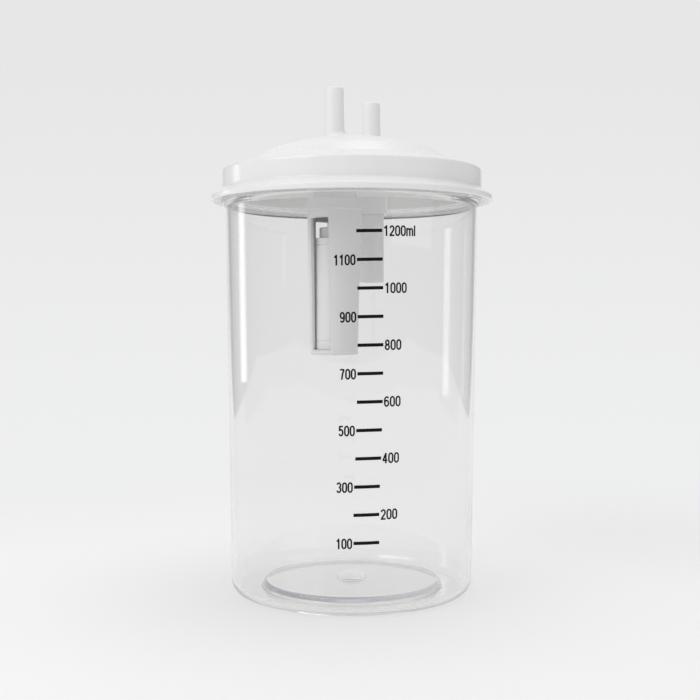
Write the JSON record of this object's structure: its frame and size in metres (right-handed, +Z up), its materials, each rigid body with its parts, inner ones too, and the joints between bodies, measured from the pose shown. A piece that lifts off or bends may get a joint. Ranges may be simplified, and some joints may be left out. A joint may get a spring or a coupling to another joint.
{
  "type": "suction canister",
  "caption": "Clear graduated jar with a domed push-on lid that carries hose ports, and a caged float that shuts the vacuum port when the jar is full.",
  "frame": {"origin": "centre of the ground plane under the jar", "axes": "+Z up along the jar's axis, -Y towards the graduated front, +X to the right seen from the front"},
  "size_m": [0.1252, 0.1252, 0.221],
  "materials": {
    "clear_jar": "clear rigid plastic, polished inside and out",
    "gasket_rubber": "pale silicone rubber, matte",
    "white_lid": "white moulded plastic, satin gloss",
    "white_cage": "white moulded plastic, fine matte",
    "white_tube": "white extruded plastic, cut square",
    "white_float": "white moulded plastic, fine matte",
    "seal_rubber": "grey-brown rubber, matte"
  },
  "bodies": {
    "jar": {"jar": "clear_jar"},
    "gasket": {"lid_gasket": "gasket_rubber"},
    "lid": {"lid": "white_lid", "float_cage": "white_cage", "drop_tube": "white_tube"},
    "float": {"float_tube": "white_float", "float_bottom_cap": "white_float", "float_top_cap": "white_float", "valve_seal": "seal_rubber"}
  },
  "joints": [
    {"name": "lid_lift", "type": "slide", "parent": "jar", "child": "gasket", "axis": [0, 0, 1], "range_m": [0, 0.09]},
    {"name": "lid_turn", "type": "hinge", "parent": "gasket", "child": "lid", "pos_m": [0, 0, 0.1838], "axis": [0, 0, 1], "continuous": true},
    {"name": "float_rise", "type": "slide", "parent": "lid", "child": "float", "axis": [0, 0, 1], "range_m": [0, 0.0075]}
  ]
}
